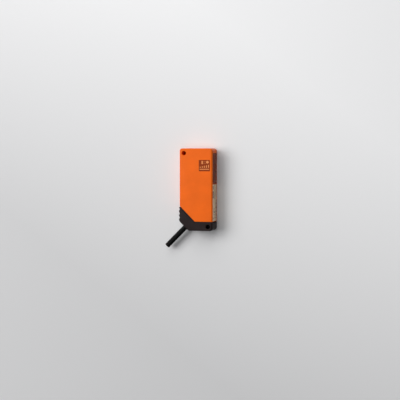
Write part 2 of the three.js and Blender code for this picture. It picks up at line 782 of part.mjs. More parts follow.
piece('cable', along([
  onCable(-CABLE_INSET),
  onCable((CABLE_VISIBLE - CABLE_INSET) / 2),
  onCable(CABLE_VISIBLE)
], CABLE_DIAMETER, 12, 3), 'sheath')
piece('cable_tail', along([
  onCable(BUSHING_OUTER),
  onCable((BUSHING_OUTER + TAIL_END) / 2),
  onCable(TAIL_END)
], CABLE_DIAMETER, 12, 1), 'sheath')
piece('cable_bushing', onOutlet(ring(2.8, 4.1, BUSHING_INNER, BUSHING_OUTER)), 'rubber')
piece('cable_crimp', onOutlet(ring(2.8, 3.55, CRIMP_INNER, CRIMP_OUTER)), 'brass')

// Each core leaves the sheath straight, then rises over the board's edge down to its pad.
const cores = [
  ['wire_blue', 'blue', 210, [-3.9, -19.4]],
  ['wire_brown', 'brown', 90, [-0.3, -19.4]],
  ['wire_black', 'black', 330, [0.2, -23.1]]
]

for (const [name, look, degrees, [padX, padY]] of cores) {
  const angle = THREE.MathUtils.degToRad(degrees)
  const start = onCable(TAIL_END - 0.2)
    .addScaledVector(alongFace, CORE_CIRCLE * Math.cos(angle))
    .add(new THREE.Vector3(0, 0, CORE_CIRCLE * Math.sin(angle)))
  const straight = start.clone().addScaledVector(outward, -1)
  const above = new THREE.Vector3(padX, padY, ON_BOARD + 1.4)
  const pad = new THREE.Vector3(padX, padY, ON_BOARD + 0.05)
  piece(name, along([start, straight, above, pad], CORE_DIAMETER, 8, 10), look)
}

// ---- cap screws ------------------------------------------------------------------------------

function makeScrew () {
  const [head, height, shaft, length] = [2.3, 1.5, 1.25, 11.5]
  const body = solid(turned([
    [0, 0], [head - 0.4, 0], [head, 0.5], [head, height], [shaft, height], [shaft, height + length - 1],
    [shaft * 0.3, height + length], [0, height + length]
  ], 20))
  const recess = [[1.3, 0.3], [0.3, 1.3]].map(([x, z]) => block([-x, -1, -z], [x, 0.8, z]))
  return body.subtract(union(recess))
}

for (const [name, z] of [['cap_screw_back', SCREW_BACK_Z], ['cap_screw_front', SCREW_FRONT_Z]]) {
  piece(name, makeScrew(), 'steel').position.set(SCREW_X, SCREW_HEAD_FLOOR - 1.6, z)
}

export default sensor
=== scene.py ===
"""Looks of a rectangular photoelectric sensor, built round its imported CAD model."""

import json
import math

import bmesh
import bpy
from mathutils import Matrix, Vector


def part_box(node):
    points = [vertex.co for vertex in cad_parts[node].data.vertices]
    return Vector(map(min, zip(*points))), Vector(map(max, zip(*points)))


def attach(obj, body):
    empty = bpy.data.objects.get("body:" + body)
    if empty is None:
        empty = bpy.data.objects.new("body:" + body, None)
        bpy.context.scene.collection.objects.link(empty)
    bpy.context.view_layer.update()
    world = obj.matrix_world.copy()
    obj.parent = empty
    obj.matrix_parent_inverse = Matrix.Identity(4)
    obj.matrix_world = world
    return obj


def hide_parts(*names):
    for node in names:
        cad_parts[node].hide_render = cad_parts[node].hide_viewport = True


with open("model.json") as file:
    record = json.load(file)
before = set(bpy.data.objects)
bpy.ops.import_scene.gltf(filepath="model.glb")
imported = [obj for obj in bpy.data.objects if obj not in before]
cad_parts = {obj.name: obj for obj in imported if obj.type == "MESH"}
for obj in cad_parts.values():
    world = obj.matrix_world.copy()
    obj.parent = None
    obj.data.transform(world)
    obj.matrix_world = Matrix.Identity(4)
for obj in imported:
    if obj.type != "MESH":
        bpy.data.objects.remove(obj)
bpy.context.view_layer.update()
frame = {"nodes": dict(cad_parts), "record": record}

MM = 0.001

# ---- places, read from the frame -------------------------------------------------------------

nodes = frame["nodes"]
shell_low, shell_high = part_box("housing_shell")
cap_low, cap_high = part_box("end_cap")
window_low, window_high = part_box("front_window")
label_low, label_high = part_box("type_label")
cable_low, cable_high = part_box("cable")

REAR, OPTICAL = shell_low.x, shell_high.x
TOP, JOINT_Y, BOTTOM = shell_high.y, shell_low.y, cap_low.y
DEPTH, CAP_DEPTH = shell_high.z, cap_high.z
MID = DEPTH / 2
RIB_PEAK_X = cap_low.x

# Dimensions that no box gives, in the frame's metres.
JOINT_BEND_X = -1.3 * MM
CAP_GAP = 0.9 * MM
CHAMFER = 8.8 * MM
MOUNT_HOLE_RADIUS = 2.15 * MM
TOP_HOLE = (-12.5 * MM, 36.2 * MM)
CAP_HOLE = (12.1 * MM, -36.9 * MM)
CABLE_DIAMETER = 5.2 * MM
CABLE_VISIBLE = 29.3 * MM
CABLE_INSET = 4.6 * MM
RIB_PITCH = 4.13 * MM
FIRST_RIB_Y = -17.6 * MM
PRINT = 0.04 * MM  # how far the printed faces lie below the CAD's, which leaves room for the ink

outward = Vector((-1, -1, 0)).normalized()
outlet = Vector((REAR + CHAMFER / 2, BOTTOM + CHAMFER / 2, (cable_low.z + cable_high.z) / 2))


def on_cable(distance):
    """A point on the cable's axis, this far out from the outlet face."""
    return outlet + outward * distance


# ---- camera ----------------------------------------------------------------------------------

body_middle = Vector((0, 0, MID))
camera_place = body_middle + Vector((285, 36, 1031)) * MM
picture_up = Vector((0, 1, 0))
LENS = 96.3
SENSOR_WIDTH = 36
CLIP_START, CLIP_END = 0.05, 20
AIM_RIGHT, AIM_DOWN = 1.65 * MM, 10.6 * MM  # of the point it looks at, from the body's middle


def camera_axes(aim):
    """The camera's right, up and back directions when it looks at that point."""
    back = (camera_place - aim).normalized()
    right = picture_up.cross(back).normalized()
    return right, back.cross(right), back


def make_camera():
    """The offsets are measured in the picture of a camera that looks at the body's middle."""
    right, up, back = camera_axes(body_middle)
    right, up, back = camera_axes(body_middle + right * AIM_RIGHT - up * AIM_DOWN)
    data = bpy.data.cameras.new("camera")
    data.lens = LENS
    data.sensor_width = SENSOR_WIDTH
    data.clip_start, data.clip_end = CLIP_START, CLIP_END
    camera = bpy.data.objects.new("camera", data)
    turn = Matrix((right, up, back)).transposed().to_4x4()
    camera.matrix_world = Matrix.Translation(camera_place) @ turn
    bpy.context.scene.collection.objects.link(camera)
    bpy.context.scene.camera = camera


make_camera()

# ---- node materials --------------------------------------------------------------------------


class Look:
    """A material whose nodes are added one call at a time."""

    def __init__(self, name, colour, roughness, **uniform):
        self.material = bpy.data.materials.new(name)
        self.material.use_nodes = True
        self.tree = self.material.node_tree
        self.shader = self.tree.nodes["Principled BSDF"]
        self.coordinates = self.tree.nodes.new("ShaderNodeTexCoord").outputs["Object"]
        self.normal = None
        self.material.diffuse_color = (*colour, 1)
        self.set("Base Color", (*colour, 1))
        self.set("Roughness", roughness)
        for socket, value in uniform.items():
            self.set(socket.replace("_", " "), value)

    def feed(self, socket, value):
        """Links an output to a socket, or sets the socket to a plain value."""
        if isinstance(value, bpy.types.NodeSocket):
            self.tree.links.new(value, socket)
        else:
            socket.default_value = value

    def set(self, socket, value):
        self.feed(self.shader.inputs[socket], value)

    def add(self, kind, inputs=(), **settings):
        node = self.tree.nodes.new(kind)
        for name, value in settings.items():
            setattr(node, name, value)
        for key, value in dict(inputs).items():
            self.feed(node.inputs[key], value)
        return node

    def stretched(self, scale, rotation=(0, 0, 0)):
        mapping = self.add("ShaderNodeMapping", {
            "Vector": self.coordinates, "Scale": scale, "Rotation": rotation,
        })
        return mapping.outputs[0]

    def noise(self, size, detail=3, rough=0.55, vector=None):
        """Noise whose features are about this many metres across, from 0 to 1."""
        node = self.add("ShaderNodeTexNoise", {
            "Vector": vector or self.coordinates, "Scale": 1 / size,
            "Detail": detail, "Roughness": rough,
        })
        return node.outputs[0]

    def cells(self, size):
        """Distance from the middles of cells about this many metres across."""
        node = self.add("ShaderNodeTexVoronoi", {"Vector": self.coordinates, "Scale": 1 / size})
        return node.outputs["Distance"]

    def between(self, value, low, high, low_at=0.0, high_at=1.0):
        """The value, taken from one range to another."""
        node = self.add("ShaderNodeMapRange", {
            "Value": value, "From Min": low_at, "From Max": high_at, "To Min": low, "To Max": high,
        })
        return node.outputs[0]

    def blended(self, factor, first, second):
        """The first colour where the factor is 0, and the second where it is 1."""
        first, second = [(*c[:3], 1) if isinstance(c, tuple) else c for c in (first, second)]
        # A Mix node's colours are its inputs 6 and 7 and its output 2.
        node = self.add("ShaderNodeMix", {0: factor, 6: first, 7: second}, data_type="RGBA")
        return node.outputs[2]

    def mottle(self, pattern, most, low_at, high_at, colour, factor):
        """A base colour that takes on up to this much of its own shade where the pattern is high."""
        amount = self.between(pattern, 0, most, low_at, high_at)
        self.set("Base Color", self.blended(amount, colour, shade(colour, factor)))

    def bump(self, height, distance, strength=1.0):
        """Adds one more layer of relief over those before it."""
        inputs = {"Height": height, "Distance": distance, "Strength": strength}
        if self.normal:
            inputs["Normal"] = self.normal
        self.normal = self.add("ShaderNodeBump", inputs).outputs[0]
        self.set("Normal", self.normal)


def shade(colour, factor):
    return tuple(channel * factor for channel in colour[:3])


def srgb(red, green, blue):
    """Linear colour from the usual 0 to 255 values."""
    def linear(value):
        value /= 255
        return value / 12.92 if value <= 0.04045 else ((value + 0.055) / 1.055) ** 2.4
    return (linear(red), linear(green), linear(blue))


def moulded(name, colour, roughness, grain=0.16 * MM, relief=0.008 * MM, drift=0.05, **uniform):
    """Injection-moulded plastic: an eroded texture, faint flow clouds and a few finger smears."""
    look = Look(name, colour, roughness, **uniform)
    clouds = look.noise(14 * MM, 2)
    speckle = look.noise(0.5 * MM, 4, 0.7)
    darker, lighter = shade(colour, 1 - drift), shade(colour, 1 + drift)
    tone = look.blended(look.between(clouds, 0, 1, 0.3, 0.7), darker, lighter)
    tone = look.blended(look.between(speckle, 0, 0.18, 0.45, 0.8), tone, shade(colour, 0.8))
    look.set("Base Color", tone)
    smears = look.noise(9 * MM, 4, 0.6, look.stretched((1, 0.35, 1), (0.3, 0.2, 0.5)))
    look.set("Roughness", look.between(smears, roughness - 0.05, roughness + 0.08, 0.3, 0.7))
    look.bump(look.cells(grain), relief)
    look.bump(look.noise(grain * 2.2, 3), relief * 0.7)
    look.bump(look.noise(11 * MM, 1), 0.03 * MM, 0.5)
    return look.material


ORANGE = srgb(239, 103, 12)
BLACK = srgb(33, 22, 22)
ACRYLIC_IOR = 1.49


def window_look():
    """Polished acrylic, tinted a very dark red-brown."""
    colour = srgb(148, 60, 18)
    look = Look(
        "tinted_acrylic", colour, 0.04,
        Transmission_Weight=0.35, IOR=ACRYLIC_IOR, Specular_IOR_Level=0.0,
        Coat_Weight=0.045, Coat_Roughness=0.05,
    )
    haze = look.noise(5 * MM, 4, 0.6, look.stretched((1, 0.25, 1)))
    look.set("Roughness", look.between(haze, 0.03, 0.09, 0.35, 0.75))
    look.set("Base Color", look.blended(haze, shade(colour, 0.75), shade(colour, 1.15)))
    look.bump(look.noise(12 * MM, 2), 0.02 * MM, 0.4)
    return look.material


def foil_look():
    """Satin silver label film with fine rolling lines, slightly uneven where it is stuck down."""
    colour = srgb(239, 206, 168)
    look = Look("label_foil", colour, 0.45, Metallic=0.1, Specular_IOR_Level=0.4)
    lines = look.noise(0.12 * MM, 3, 0.6, look.stretched((1, 0.03, 1)))
    clouds = look.noise(6 * MM, 3)
    tone = look.blended(look.between(clouds, 0, 1, 0.3, 0.7), shade(colour, 0.86), shade(colour, 1.1))
    look.set("Base Color", look.blended(look.between(lines, 0, 0.35), tone, shade(colour, 1.25)))
    look.set("Roughness", look.between(lines, 0.3, 0.48, 0.3, 0.7))
    look.bump(lines, 0.004 * MM)
    look.bump(clouds, 0.05 * MM, 0.5)
    return look.material


def ink_look(name, colour, roughness=0.5):
    """Pad-printed ink: a little uneven in its cover."""
    look = Look(name, colour, roughness, Specular_IOR_Level=0.1)
    cover = look.noise(0.35 * MM, 4, 0.7)
    look.set("Base Color", look.blended(
        look.between(cover, 0, 0.5, 0.4, 0.85), shade(colour, 1.1), shade(colour, 0.75)
    ))
    look.set("Roughness", look.between(cover, roughness - 0.08, roughness + 0.1))
    look.bump(cover, 0.004 * MM)
    return look.material


def rubber_look(name, colour):
    look = Look(name, colour, 0.75)
    dust = look.noise(1.6 * MM, 5, 0.65)
    look.mottle(dust, 0.6, 0.5, 0.9, colour, 2.2)
    look.set("Roughness", look.between(dust, 0.68, 0.88))
    look.bump(look.noise(0.2 * MM, 3), 0.01 * MM)
    return look.material


def sheath_look(name, colour, size):
    """Extruded PVC: drawn lines along the cable, a soft sheen and the odd scuff."""
    look = Look(name, colour, 0.5, Specular_IOR_Level=0.06)
    turned = look.stretched((1, 1, 1), (0, 0, math.radians(-45)))
    drawn = look.add("ShaderNodeMapping", {"Vector": turned, "Scale": (0.03, 1, 1)}).outputs[0]
    lines = look.noise(0.25 * MM, 3, 0.6, drawn)
    scuffs = look.noise(size, 5, 0.7)
    look.mottle(scuffs, 0.5, 0.55, 0.85, colour, 2.4)
    look.set("Roughness", look.between(scuffs, 0.36, 0.58, 0.35, 0.75))
    look.bump(lines, 0.012 * MM)
    look.bump(look.noise(0.3 * MM, 3), 0.006 * MM)
    return look.material


def metal_look(name, colour, roughness, line=0.08 * MM, stretch=(1, 1, 0.05)):
    """Drawn, turned or plated metal with fine tool lines and faint tarnish."""
    look = Look(name, colour, roughness, Metallic=1.0)
    lines = look.noise(line, 2, 0.6, look.stretched(stretch))
    tarnish = look.noise(1.5 * MM, 4, 0.6)
    look.mottle(tarnish, 0.7, 0.45, 0.85, colour, 0.62)
    look.set("Roughness", look.between(tarnish, roughness * 0.8, roughness * 1.4, 0.3, 0.8))
    look.bump(lines, 0.004 * MM)
    return look.material


def clear_look(name, colour, roughness=0.05, weight=1.0):
    """Clear moulded resin with faint flow lines."""
    look = Look(name, colour, roughness, Transmission_Weight=weight, IOR=ACRYLIC_IOR)
    flow = look.noise(2 * MM, 3, 0.6, look.stretched((1, 0.3, 1)))
    look.set("Base Color", look.blended(flow, shade(colour, 0.9), colour))
    look.set("Roughness", look.between(flow, roughness, roughness + 0.07, 0.4, 0.8))
    look.bump(flow, 0.01 * MM, 0.4)
    return look.material


def board_look():
    """Green solder mask over copper tracks, with tinned pads showing between them."""
    mask = srgb(24, 92, 50)
    track = srgb(46, 128, 66)
    tin = srgb(196, 192, 180)
    look = Look("board_laminate", mask, 0.35, Coat_Weight=0.3, Coat_Roughness=0.2)
    grid = look.add("ShaderNodeTexBrick", {
        "Vector": look.coordinates, "Scale": 1 / (2.6 * MM), "Mortar Size": 0.07,
        "Mortar Smooth": 0.1, "Brick Width": 1.7, "Row Height": 0.55,
    }, offset=0.37)
    copper = look.between(grid.outputs["Fac"], 0, 1)
    tone = look.blended(copper, mask, track)
    pads = look.between(look.cells(3.1 * MM), 1, 0, 0.1, 0.13)
    weave = look.noise(0.3 * MM, 2)
    tone = look.blended(look.between(weave, 0, 0.2), tone, shade(mask, 0.6))
    look.set("Base Color", look.blended(pads, tone, tin))
    look.set("Roughness", look.between(pads, 0.35, 0.25))
    look.bump(copper, 0.02 * MM)
    look.bump(weave, 0.008 * MM)
    return look.material


def chip_look(name):
    """Matt moulding compound with filler specks."""
    colour = (0.02, 0.02, 0.022)
    look = Look(name, colour, 0.6)
    specks = look.noise(0.15 * MM, 4, 0.8)
    look.mottle(specks, 0.6, 0.5, 0.9, colour, 2.6)
    look.set("Roughness", look.between(specks, 0.5, 0.72))
    look.bump(specks, 0.008 * MM)
    return look.material


FINE_GRAIN = (0.1 * MM, 0.004 * MM)  # grain and relief of small mouldings

LOOKS = {
    "housing_orange": moulded("housing_orange", ORANGE, 0.48, Specular_IOR_Level=0.15),
    "cap_black": moulded("cap_black", BLACK, 0.48, drift=0.12, Specular_IOR_Level=0.14),
    "seal_rubber": rubber_look("seal_rubber", srgb(26, 25, 24)),
    "window_tinted": window_look(),
    "label_foil": foil_look(),
    "cable_sheath": sheath_look("cable_sheath", srgb(12, 12, 11), 2.5 * MM),
    "control_white": moulded("control_white", srgb(226, 222, 210), 0.4, *FINE_GRAIN),
    "control_blue": moulded("control_blue", srgb(34, 78, 150), 0.38, *FINE_GRAIN),
    "clear_plastic": clear_look("clear_plastic", srgb(238, 238, 230), weight=0.5),
    "led_red": clear_look("led_red", srgb(206, 40, 30), 0.06, 0.8),
    "led_amber": clear_look("led_amber", srgb(240, 176, 60), 0.08, 0.6),
    "board_laminate": board_look(),
    "component_black": chip_look("component_black"),
    "tinned_steel": metal_look("tinned_steel", srgb(196, 198, 200), 0.3, stretch=(1, 0.04, 1)),
    "screw_steel": metal_look("screw_steel", srgb(206, 206, 210), 0.25, stretch=(1, 0.04, 1)),
    "crimp_brass": metal_look("crimp_brass", srgb(206, 164, 84), 0.28),
    "can_aluminium": metal_look("can_aluminium", srgb(205, 207, 210), 0.3),
    "insulation_brown": sheath_look("insulation_brown", srgb(104, 58, 32), 1.2 * MM),
    "insulation_blue": sheath_look("insulation_blue", srgb(34, 84, 168), 1.2 * MM),
    "insulation_black": sheath_look("insulation_black", srgb(34, 33, 33), 1.2 * MM),
}
BADGE_INK = ink_look("badge_ink", srgb(138, 54, 12))
BADGE_PALE = ink_look("badge_pale", srgb(226, 142, 84))
DARK_INK = ink_look("dark_ink", srgb(52, 48, 45), 0.45)
COPPER = metal_look("copper_strands", srgb(214, 128, 82), 0.3)

# ---- mesh helpers ----------------------------------------------------------------------------


def rounded(corners, steps=8):
    """Corners run anticlockwise as (x, y, radius), and each radius becomes an arc."""
    points = []
    for i, (x, y, radius) in enumerate(corners):
        corner = Vector((x, y))
        if radius == 0:
            points.append(corner)
            continue
        before = Vector(corners[i - 1][:2])
        after = Vector(corners[(i + 1) % len(corners)][:2])
        back = (before - corner).normalized()
        ahead = (after - corner).normalized()
        half = back.angle(ahead) / 2
        centre = corner + (back + ahead).normalized() * (radius / math.sin(half))
        reach = radius / math.tan(half)
        arm = corner + back * reach - centre
        start = math.atan2(arm.y, arm.x)
        arm = corner + ahead * reach - centre
        turn = (math.atan2(arm.y, arm.x) - start + math.pi) % (2 * math.pi) - math.pi
        for k in range(steps + 1):
            angle = start + turn * k / steps
            points.append(centre + Vector((math.cos(angle), math.sin(angle))) * radius)
    return points


def drawn_in(points, distance):
    """The outline moved inwards by that distance, or outwards if it is negative."""
    moved = []
    for i, point in enumerate(points):
        before, after = points[i - 1], points[(i + 1) % len(points)]
        first = (point - before).normalized()
        second = (after - point).normalized()
        normals = Vector((first.y, -first.x)) + Vector((second.y, -second.x))
        moved.append(point - normals * (distance / (1 + first.dot(second))))
    return moved


def circle(radius, centre=(0, 0), sides=48):
    turn = 2 * math.pi / sides
    arms = [Vector((math.cos(i * turn), math.sin(i * turn))) for i in range(sides)]
    return [Vector(centre) + arm * radius for arm in arms]


def rectangle(half_x, half_y, radius=0, middle=(0, 0), steps=8):
    """A rectangle round that middle, its corners rounded."""
    x, y = middle
    return rounded([
        (x - half_x, y + half_y, radius), (x - half_x, y - half_y, radius),
        (x + half_x, y - half_y, radius), (x + half_x, y + half_y, radius),
    ], steps)


def quarter_turn(steps):
    """The angles from 0 to 90 degrees in equal steps."""
    return [math.pi / 2 * k / steps for k in range(steps + 1)]


def filleted(points, low, high, fillet, steps, low_fillet=None):
    """Layers of a prism whose outer edges are rounded; low_fillet 0 leaves the lower edge sharp."""
    low_fillet = fillet if low_fillet is None else low_fillet
    angles = quarter_turn(steps)
    layers = []
    for angle in angles if low_fillet else angles[-1:]:
        outline = drawn_in(points, low_fillet * (1 - math.sin(angle)))
        layers.append((outline, low + low_fillet * (1 - math.cos(angle))))
    for angle in reversed(angles):
        outline = drawn_in(points, fillet * (1 - math.sin(angle)))
        layers.append((outline, high - fillet * (1 - math.cos(angle))))
    return layers


BEYOND = 1 * MM  # how far a cutter stands out of the surface it cuts
FAR = 60 * MM  # past the body on every side
OVERRUN = 1.02  # the flare's widening above the surface, over its widening at the surface


def flared(points, low, surface, flare, steps=5):
    """Layers of a cutter that opens out in a round edge where it meets the surface above it."""
    layers = [(points, low)]
    for angle in quarter_turn(steps):
        outline = drawn_in(points, -flare * (1 - math.cos(angle)))
        layers.append((outline, surface - flare + flare * math.sin(angle)))
    layers.append((drawn_in(points, -flare * OVERRUN), surface + BEYOND))
    return layers


def through(points, low, high, flare):
    """Layers of a cutter that opens out at both of its ends."""
    upper = flared(points, (low + high) / 2, high, flare)
    lower = [(outline, low + high - height) for outline, height in reversed(upper[1:])]
    return lower + upper


def add_ring(bm, points, height, place):
    """The vertices of an outline at that height over the place."""
    return [bm.verts.new(place @ Vector((p.x, p.y, height))) for p in points]


def add_pile(bm, layers, place):
    """A closed skin through a pile of outlines, each (points, height)."""
    rings = [add_ring(bm, points, height, place) for points, height in layers]
    count = len(rings[0])
    for lower, upper in zip(rings, rings[1:]):
        for i in range(count):
            j = (i + 1) % count
            bm.faces.new((lower[i], lower[j], upper[j], upper[i]))
    bm.faces.new(rings[0][::-1])
    bm.faces.new(rings[-1])


def raised(name, layers, place=Matrix.Identity(4)):
    """A closed mesh object through a pile of outlines, each (points, height)."""
    bm = bmesh.new()
    add_pile(bm, layers, place)
    bmesh.ops.recalc_face_normals(bm, faces=bm.faces)
    return made(name, bm)


def prism(name, outline, low, high, place=Matrix.Identity(4)):
    return raised(name, [(outline, low), (outline, high)], place)


def made(name, bm):
    mesh = bpy.data.meshes.new(name)
    bm.to_mesh(mesh)
    bm.free()
    thing = bpy.data.objects.new(name, mesh)
    bpy.context.scene.collection.objects.link(thing)
    return thing


def turned(name, profile, sides, place):
    """A profile of (radius, height) from one end of the axis to the other, turned about +Z."""
    bm = bmesh.new()
    rings = []
    for radius, height in profile:
        points = circle(radius, sides=sides) if radius else [Vector((0, 0))]
        rings.append(add_ring(bm, points, height, place))
    for lower, upper in zip(rings, rings[1:]):
        for i in range(sides):
            j = (i + 1) % sides
            corners = [lower[i % len(lower)], lower[j % len(lower)]]
            corners += [upper[j % len(upper)], upper[i % len(upper)]]
            bm.faces.new(list(dict.fromkeys(corners)))
    bmesh.ops.recalc_face_normals(bm, faces=bm.faces)
    return made(name, bm)


def combined(base, others, operation="DIFFERENCE"):
    """Cuts the others from the base one by one, or joins them to it, and removes them."""
    for other in others:
        step = base.modifiers.new("step", "BOOLEAN")
        step.operation = operation
        step.solver = "EXACT"
        step.object = other
    bpy.context.view_layer.update()
    shaped = base.evaluated_get(bpy.context.evaluated_depsgraph_get())
    mesh = bpy.data.meshes.new_from_object(shaped)
    base.modifiers.clear()
    base.data = mesh
    for other in others:
        bpy.data.objects.remove(other)
    return base


def facing(direction, up, origin=(0, 0, 0)):
    """A place whose own Z is the direction and whose own Y is as near up as it can be."""
    z = Vector(direction).normalized()
    x = Vector(up).cross(z).normalized()
    y = z.cross(x)
    return Matrix.Translation(Vector(origin)) @ Matrix((x, y, z)).transposed().to_4x4()


OPTICAL_SIDE = facing((1, 0, 0), (0, 0, 1))  # its own X and Y are the frame's Y and Z
END_FACE = facing((0, 1, 0), (0, 0, 1))  # its own X and Y are the frame's -X and Z
UNDERSIDE = facing((0, -1, 0), (0, 0, 1))  # its own X and Y are the frame's X and Z


def on_end_face(point):
    return Vector((-point.x, point.z))


SHARP_ANGLE = math.radians(35)  # edges that turn by more than this stay sharp or get a bevel
replaced = set()  # CAD nodes that have a piece made here


def finish_piece(thing, slot, body="housing", stands_for=(), look=None):
    """Gives a piece its smooth shading, its material (the slot's look unless a look is given) and its
    body.
    """
    mesh = thing.data
    if thing.type == "MESH":
        mesh.shade_smooth()
        mesh.set_sharp_from_angle(angle=SHARP_ANGLE)
    mesh.materials.clear()
    mesh.materials.append(look or LOOKS[slot])
    if stands_for:
        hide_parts(*stands_for)
        replaced.update(stands_for)
    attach(thing, body)
    return thing


# ---- cable -----------------------------------------------------------------------------------

CABLE_ROUTE = (on_cable(-CABLE_INSET), on_cable(CABLE_VISIBLE))
CABLE_STEPS = 16
CORE_CIRCLE = 1.15 * MM
CORE_RADIUS = 0.6 * MM
CORE_EDGE = 0.04 * MM  # width of the bevel round the end of the insulation
CORE_LOW, CORE_TOP = -0.5 * MM, -0.02 * MM  # where the insulation ends, from the cable's end
COPPER_RADIUS = CORE_RADIUS * 0.62
COPPER_LOW = -0.1 * MM  # depth of the pocket that the strands stand in
STRAND_RADIUS = COPPER_RADIUS / 3.05
STRAND_LOW = -0.13 * MM
STRAND_SIDES = 12
END_RELIEF = 0.12 * MM  # how far the cores stand out of the cut sheath


def make_cable():
    curve = bpy.data.curves.new("cable_sheath", "CURVE")
    curve.dimensions = "3D"
    curve.bevel_depth = CABLE_DIAMETER / 2
    curve.bevel_resolution = 14
    curve.use_fill_caps = True
    line = curve.splines.new("POLY")
    line.points.add(CABLE_STEPS)
    start, end = CABLE_ROUTE[0], CABLE_ROUTE[-1] - outward * END_RELIEF
    for i in range(CABLE_STEPS + 1):
        line.points[i].co = (*start.lerp(end, i / CABLE_STEPS), 1)
    sheath = bpy.data.objects.new("cable_sheath", curve)
    bpy.context.scene.collection.objects.link(sheath)
    return finish_piece(sheath, "cable_sheath", stands_for=["cable"])


def make_core(colour, degrees):
    """One cut core in the end of the cable: a ring of insulation, and its seven strands."""
    angle = math.radians(degrees)
    end = facing(outward, (0, 0, 1), on_cable(CABLE_VISIBLE))
    centre = (CORE_CIRCLE * math.cos(angle), CORE_CIRCLE * math.sin(angle), 0)
    place = end @ Matrix.Translation(centre)
    ring = turned("core_" + colour, [
        (0, CORE_LOW), (CORE_RADIUS, CORE_LOW), (CORE_RADIUS, CORE_TOP - CORE_EDGE),
        (CORE_RADIUS - CORE_EDGE, CORE_TOP), (COPPER_RADIUS, CORE_TOP),
        (COPPER_RADIUS, COPPER_LOW), (0, COPPER_LOW),
    ], 32, place)
    bm = bmesh.new()
    for k in range(7):
        turn = math.radians(60 * k)
        reach = 0 if k == 6 else STRAND_RADIUS * 2
        middle = Vector((math.cos(turn), math.sin(turn))) * reach
        high = -0.01 * MM - 0.02 * MM * (k % 3)  # the strands aren't cut off level
        full = circle(STRAND_RADIUS, middle, STRAND_SIDES)
        tip = circle(STRAND_RADIUS * 0.7, middle, STRAND_SIDES)
        add_pile(bm, [(full, STRAND_LOW), (full, high), (tip, high + 0.01 * MM)], place)
    strands = made("strands_" + colour, bm)
    return [
        finish_piece(ring, "insulation_" + colour),
        finish_piece(strands, "crimp_brass", look=COPPER),
    ]


sheath = make_cable()
core_ends = make_core("blue", 210) + make_core("brown", 90) + make_core("black", 330)

# ---- housing ---------------------------------------------------------------------------------

SHELL_FILLET = 0.7 * MM
REAR_CORNER = 2.5 * MM  # at the top, on the rear side
TOP_CORNER = 3 * MM  # at the top, on the optical side
BASE_CORNER = 3.5 * MM  # at the bottom, on the optical side
BEND_RADIUS = 0.9 * MM  # where the joint bends, and where it meets the rear side
OPTICAL_EDGE_RADIUS = 2 * MM  # the edge between the front face and the optical side
REAR_WALL = 1.6 * MM
OPTICAL_WALL = 2.6 * MM
TOP_WALL = 2.2 * MM
BOSS_REACH = 8.15 * MM
COLLAR_RADIUS = 3.7 * MM
COLLAR_LOW = 37 * MM
WELL_RADIUS = 3.2 * MM
WELL_DEPTH = 1 * MM
SPINDLE_BORE = 2.25 * MM
PIPE_BORE = 2.2 * MM
WINDOW_SEAT = 1.85 * MM
WINDOW_LEDGE = 1.4 * MM
LABEL_SEAT = 0.4 * MM
SEAT_GAP = 0.2 * MM  # round the window and the label, in their recesses
HOLE_FLARE = 0.35 * MM  # round edges of the mounting holes
EJECTOR_RADIUS, EJECTOR_DEPTH = 1.6 * MM, 0.06 * MM  # round marks in the back face


def middle_of(node):
    low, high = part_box(node)
    return (low + high) / 2


adjuster_middle = middle_of("sensitivity_adjuster")
selector_middle = middle_of("mode_selector")
light_middle = middle_of("light_pipe")


def edge_inset(height, front, radius):
    """How far a rounded edge of that radius draws the outline in at a height under the front."""
    rise = height - (front - radius)
    return 0 if rise <= 0 else radius - math.sqrt(max(radius ** 2 - rise ** 2, 0))


EDGE_STEPS = 6


def body_layers(outline, front, edge):
    """Layers of a body whose front edge to the optical side has a radius of its own."""
    layers = []
    for angle in quarter_turn(EDGE_STEPS):
        inset = edge * (1 - math.sin(angle))
        layers.append((outline(inset, inset), edge * (1 - math.cos(angle))))
    heights = set()
    for radius, steps in ((edge, EDGE_STEPS), (OPTICAL_EDGE_RADIUS, 2 * EDGE_STEPS)):
        for angle in quarter_turn(steps):
            heights.add(round(front - radius * (1 - math.sin(angle)), 8))
    for height in sorted(heights):
        side = edge_inset(height, front, edge)
        layers.append((outline(side, edge_inset(height, front, OPTICAL_EDGE_RADIUS)), height))
    return layers


def shell_outline(inset, optical_inset):
    """Anticlockwise from the top corner at the rear, drawn in by these distances."""
    slope = JOINT_BEND_X + JOINT_Y + inset * math.sqrt(2)  # x + y along the 45 degree stretch
    rear, level = REAR + inset, JOINT_Y + inset
    top, optical = TOP - PRINT - inset, OPTICAL - optical_inset
    return rounded([
        (rear, top, REAR_CORNER - inset),
        (rear, slope - rear, BEND_RADIUS),
        (slope - level, level, BEND_RADIUS),
        (optical, level, 0.7 * MM),
        (optical, top, TOP_CORNER - (inset + optical_inset) / 2),
    ])


def side_rectangle(low, high, growth, radius):
    """An outline round a node's box as seen from the optical side: local X is Y and local Y is Z."""
    return rounded([
        (low.y - growth, high.z + growth, radius),
        (low.y - growth, low.z - growth, radius),
        (high.y + growth, low.z - growth, radius),
        (high.y + growth, high.z + growth, radius),
    ])


